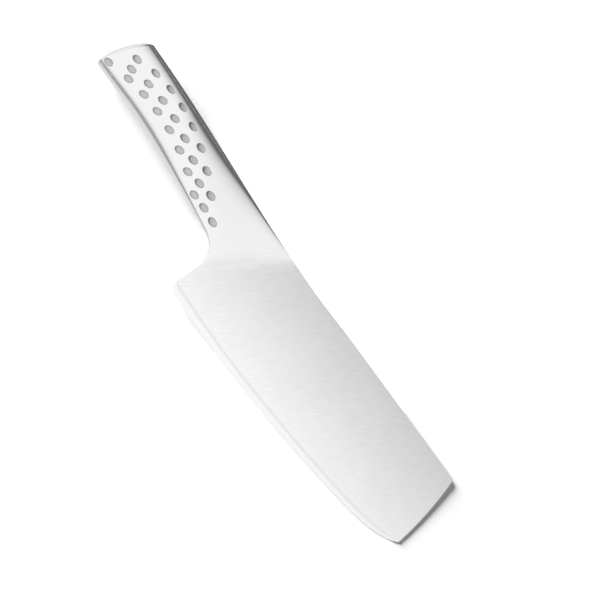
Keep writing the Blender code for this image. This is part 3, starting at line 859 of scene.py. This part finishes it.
class Graph:
    """Small helper that adds and joins the nodes of one material or world."""

    def __init__(self, owner):
        owner.use_nodes = True
        self.nodes = owner.node_tree.nodes
        self.links = owner.node_tree.links

    def add(self, kind, *inputs, **settings):
        """New node; inputs fill its sockets in order, settings its properties."""
        node = self.nodes.new(kind)
        for key, value in settings.items():
            setattr(node, key, value)
        for socket, value in zip(node.inputs, inputs):
            self.join(value, socket)
        return node

    def join(self, value, socket):
        """Link a socket to another one, or set it to a plain value."""
        if isinstance(value, bpy.types.NodeSocket):
            self.links.new(value, socket)
        elif socket.type == "RGBA":
            socket.default_value = opaque(value)
        else:
            socket.default_value = value

    def math(self, operation, *inputs, clamp=False):
        """Result of an operation on numbers, held from 0 to 1 where it is clamped."""
        node = self.add("ShaderNodeMath", *inputs, operation=operation, use_clamp=clamp)
        return node.outputs[0]

    def weigh(self, share, first, second):
        """Sum of two values, the first weighted by a share and the second by the rest."""
        part = self.math("MULTIPLY", first, share)
        rest = self.math("MULTIPLY", second, 1 - share)
        return self.math("ADD", part, rest)

    def carry(self, value, before, after):
        """Value carried over from one range to another, and held at its ends."""
        return self.add("ShaderNodeMapRange", value, *before, *after).outputs[0]

    def noise(self, vector, scale, detail=2.0, roughness=0.5):
        """Soft noise between 0 and 1 at the places that a vector gives."""
        node = self.add("ShaderNodeTexNoise")
        self.join(vector, node.inputs["Vector"])
        self.join(scale, node.inputs["Scale"])
        self.join(detail, node.inputs["Detail"])
        self.join(roughness, node.inputs["Roughness"])
        return node.outputs["Fac"]

    def attribute(self, name):
        """Value that the mesh carries on its vertices under a name."""
        return self.add("ShaderNodeAttribute", attribute_name=name).outputs["Fac"]

    def blend(self, factor, first, second, kind="RGBA"):
        """Mix of two colours by a factor, or of two numbers with FLOAT as the kind."""
        node = self.add("ShaderNodeMix", data_type=kind)
        self.join(factor, node.inputs["Factor"])
        self.join(first, node.inputs["A"])
        self.join(second, node.inputs["B"])
        return node.outputs["Result"]

    def ramp(self, value, stops):
        """Colour ramp with a grey or a colour at each stop."""
        node = self.add("ShaderNodeValToRGB", value)
        elements = node.color_ramp.elements
        while len(elements) < len(stops):
            elements.new(1.0)
        for element, (place, colour) in zip(elements, stops):
            element.position = place
            element.color = opaque(colour)
        return node.outputs["Color"]


def new_material(name):
    """Material with its graph, its shader and its object coordinates."""
    material = bpy.data.materials.new(name)
    graph = Graph(material)
    place = graph.add("ShaderNodeTexCoord").outputs["Object"]
    return material, graph, graph.nodes["Principled BSDF"], place


def brush_coordinates(graph, place, spacing):
    """Coordinates that run across and along the arcs of the brush lines."""
    offset = graph.add("ShaderNodeVectorMath", place, BRUSH_CENTRE, operation="SUBTRACT")
    parts = graph.add("ShaderNodeSeparateXYZ", offset.outputs[0])
    flat = graph.add("ShaderNodeCombineXYZ", parts.outputs[0], parts.outputs[1], 0.0)
    radius = graph.add("ShaderNodeVectorMath", flat.outputs[0], operation="LENGTH")
    angle = graph.math("ARCTAN2", parts.outputs[1], parts.outputs[0])
    run = graph.math("MULTIPLY", angle, Vector(BRUSH_CENTRE).length / BRUSH_RUN)
    step = graph.math("MULTIPLY", radius.outputs["Value"], 1 / spacing)
    return graph.add("ShaderNodeCombineXYZ", step, run, 0.0).outputs[0]


def between(graph, low, high, value):
    """Number between two limits, driven by a value from 0 to 1."""
    return graph.carry(value, (0.0, 1.0), (low, high))


def tint(graph, shader, colour, shade):
    """Give a shader a colour times a grey shade."""
    node = graph.add("ShaderNodeVectorMath", colour, operation="SCALE")
    graph.join(shade, node.inputs["Scale"])
    graph.join(node.outputs[0], shader.inputs["Base Color"])


def add_bump(graph, shader, relief, strength, height):
    """Give a shader the bumps of a relief whose values run from 0 to 1."""
    node = graph.add("ShaderNodeBump")
    graph.join(strength, node.inputs["Strength"])
    graph.join(height, node.inputs["Distance"])
    graph.join(relief, node.inputs["Height"])
    graph.join(node.outputs[0], shader.inputs["Normal"])


def brushed_steel(name, steel):
    """Steel with fine arcs of brush lines, which fade out where it is polished.

    The mesh says how polished it is, and where the bevel begins, along which the
    steel gets a line of painted shade.
    """
    material, graph, shader, place = new_material(name)
    shader.inputs["Metallic"].default_value = 1.0
    polish = graph.attribute("polish")
    fine_place = brush_coordinates(graph, place, BRUSH_FINE)
    fine = graph.noise(fine_place, 1.0, BRUSH_DETAIL, BRUSH_ROUGHNESS)
    broad = graph.noise(brush_coordinates(graph, place, BRUSH_BROAD), 1.0)
    cloud = graph.noise(place, BLADE_CLOUD_SCALE)
    lines = graph.weigh(FINE_SHARE, fine, broad)
    tone = graph.weigh(LINE_SHARE, lines, cloud)
    contrast = between(graph, steel.contrast, POLISHED_CONTRAST, polish)
    swing = graph.math("SUBTRACT", tone, 0.5)
    swing = graph.math("MULTIPLY", swing, graph.math("MULTIPLY", contrast, 2.0))
    # Painted shade: a darker line along the bevel's inner edge
    line = graph.carry(graph.attribute("bevel_line_mask"), (1 - LINE_FADE, 1.0), (1.0, steel.line_shade))
    shade = graph.math("MULTIPLY", graph.math("ADD", swing, 1.0), line)
    tint(graph, shader, graph.blend(polish, steel.colour, SATIN_COLOUR), shade)
    rough = between(graph, steel.roughness, steel.polished, polish)
    rough = graph.math("MULTIPLY", rough, between(graph, *LINE_SWING, lines))
    graph.join(rough, shader.inputs["Roughness"])
    strength = between(graph, BRUSHED_BUMP, POLISHED_BUMP, polish)
    add_bump(graph, shader, lines, strength, LINE_HEIGHT)
    return material


def satin_steel(name, colour):
    """Bead-finished steel, duller in the dimples, with painted shade just inside their
    outlines.
    """
    material, graph, shader, place = new_material(name)
    shader.inputs["Metallic"].default_value = 1.0
    mask = graph.attribute("dimple")
    cloud = graph.noise(place, SATIN_CLOUD_SCALE, SATIN_CLOUD_DETAIL)
    # The dimple's steel, with painted shade towards its outline where its walls stand
    pressed = graph.blend(graph.attribute("rim"), DIMPLE_COLOUR, RIM_PAINTED_SHADE)
    colours = graph.blend(mask, colour, pressed)
    tint(graph, shader, colours, between(graph, *SATIN_SHADE, cloud))
    plain = between(graph, *SATIN_ROUGHNESS, cloud)
    rough = graph.blend(mask, plain, DIMPLE_ROUGHNESS, "FLOAT")
    graph.join(rough, shader.inputs["Roughness"])
    add_bump(graph, shader, graph.noise(place, GRAIN_SCALE), GRAIN_BUMP, GRAIN_HEIGHT)
    return material


def sand():
    """Sand of the filling, which the handle hides."""
    material, graph, shader, place = new_material("balance_sand")
    shader.inputs["Roughness"].default_value = SAND_ROUGHNESS
    grain = graph.noise(place, SAND_SCALE)
    tint(graph, shader, SAND_COLOUR, between(graph, *SAND_SHADE, grain))
    add_bump(graph, shader, grain, SAND_BUMP, SAND_HEIGHT)
    return material


# Studio

def add_plane(name, corners, height, material):
    """Level plane of the studio between four corners in plan."""
    mesh = bpy.data.meshes.new(name)
    mesh.from_pydata([(x, y, height) for x, y in corners], [], [(0, 1, 2, 3)])
    mesh.materials.append(material)
    plane = bpy.data.objects.new(name, mesh)
    bpy.context.scene.collection.objects.link(plane)
    return plane


def make_floor():
    """White floor that keeps the knife's shadow, and glows to the camera alone: painted light
    that pales the shadow, more in some places than in others.
    """
    material, graph, shader, place = new_material("floor_white")
    graph.join(FLOOR_WHITE, shader.inputs["Base Color"])
    shader.inputs["Roughness"].default_value = 1.0
    shader.inputs["Specular IOR Level"].default_value = 0.0
    graph.join(1.0, shader.inputs["Emission Color"])
    along = graph.add("ShaderNodeVectorMath", place, LIFT_DIRECTION, operation="DOT_PRODUCT")
    share = graph.carry(along.outputs["Value"], LIFT_RANGE, (0.0, 1.0))
    # Painted light: where this glow is strong, the knife's shadow on the floor comes out paler
    lift = graph.ramp(share, FLOOR_PAINTED_LIFT)
    seen = graph.add("ShaderNodeLightPath").outputs["Is Camera Ray"]
    graph.join(graph.math("MULTIPLY", seen, lift), shader.inputs["Emission Strength"])
    half = FLOOR_SIZE / 2
    corners = ((-half, -half), (half, -half), (half, half), (-half, half))
    add_plane("floor", corners, 0.0, material)


def add_card(card):
    """Glowing card that neither the camera nor the floor sees, only the steel."""
    material, graph, _, place = new_material(card.name)
    y = graph.add("ShaderNodeSeparateXYZ", place).outputs[1]
    shine = graph.add("ShaderNodeEmission", 1.0, graph.carry(y, card.across, card.glow))
    graph.join(shine.outputs[0], graph.nodes["Material Output"].inputs["Surface"])
    plane = add_plane(card.name, card.corners, card.height, material)
    plane.visible_camera = False
    plane.visible_diffuse = False
    plane.visible_shadow = False


def make_world():
    """White to the camera, a bright ceiling to metal, and a plain grey fill light."""
    world = bpy.data.worlds.new("studio")
    bpy.context.scene.world = world
    # The ceiling shows in reflections alone, so the world isn't sampled as a lamp is
    world.cycles.sampling_method = "NONE"
    graph = Graph(world)
    direction = graph.add("ShaderNodeTexCoord").outputs["Generated"]
    parts = graph.add("ShaderNodeSeparateXYZ", direction).outputs
    tilt = graph.math("ARCTAN2", parts[1], parts[2])
    share = graph.math("ADD", graph.math("DIVIDE", tilt, math.pi), 0.5, clamp=True)
    slant = graph.math("MULTIPLY", parts[0], FAR_SLANT)
    near = graph.ramp(share, NEAR_CEILING)
    far = graph.ramp(graph.math("ADD", share, slant), FAR_CEILING)
    sides = graph.add("ShaderNodeVectorMath", near, far, operation="MULTIPLY").outputs[0]
    behind = graph.carry(parts[0], WALL_RANGE, (0.0, 1.0))
    ceiling = graph.blend(behind, sides, WALL_GREY)
    path = graph.add("ShaderNodeLightPath").outputs
    reflected = graph.blend(path["Is Glossy Ray"], FILL_LIGHT, ceiling)
    seen = graph.blend(path["Is Camera Ray"], reflected, 1.0)
    graph.join(seen, graph.nodes["Background"].inputs["Color"])


def aim(obj, azimuth, elevation, distance, target):
    """Set obj at a distance from the target, looking at it."""
    flat = math.cos(elevation)
    back = Vector((math.sin(azimuth) * flat, -math.cos(azimuth) * flat, math.sin(elevation)))
    obj.location = target + back * distance
    obj.rotation_mode = "QUATERNION"
    obj.rotation_quaternion = (-back).to_track_quat("-Z", "Y")


def make_key():
    """Broad, low key light from behind the butt, which throws the soft shadow."""
    lamp = bpy.data.lights.new("key", "SUN")
    lamp.angle = KEY_ANGLE
    lamp.energy = KEY_STRENGTH
    key = bpy.data.objects.new("key", lamp)
    bpy.context.scene.collection.objects.link(key)
    key.visible_glossy = False
    aim(key, KEY_AZIMUTH, KEY_ELEVATION, KEY_DISTANCE, Vector())


def make_camera():
    """Camera that looks down on the knife as the photograph does."""
    data = bpy.data.cameras.new("camera")
    data.lens = LENS
    data.sensor_width = SENSOR_WIDTH
    camera = bpy.data.objects.new("camera", data)
    bpy.context.scene.collection.objects.link(camera)
    aim(camera, VIEW_AZIMUTH, VIEW_ELEVATION, VIEW_DISTANCE, VIEW_TARGET)
    roll = Matrix.Rotation(VIEW_ROLL, 3, "Z").to_quaternion()
    camera.rotation_quaternion = camera.rotation_quaternion @ roll
    bpy.context.scene.camera = camera


def main():
    bpy.context.scene.view_settings.view_transform = "Standard"
    satin = satin_steel("handle_satin_steel", SATIN_COLOUR)
    brushed = brushed_steel("blade_brushed_steel", BLADE_STEEL)
    honed = brushed_steel("bevel_honed_steel", BEVEL_STEEL)
    grid = pressed_grid()
    pieces = [
        make_blade(brushed, honed),
        make_shell("handle_skin_right", "handle_shell_right", 1, grid, satin),
        make_shell("handle_skin_left", "handle_shell_left", -1, grid, satin),
        # The cap gets a darker copy of the satin steel, as painted shade
        make_cap(satin_steel("cap_satin_steel_shaded", CAP_SHADED_COLOUR)),
    ]
    frame["nodes"]["balance_fill"].material_slots[0].material = sand()
    fit_to_cad(pieces)
    make_floor()
    for card in CARDS:
        add_card(card)
    make_world()
    make_key()
    make_camera()


main()
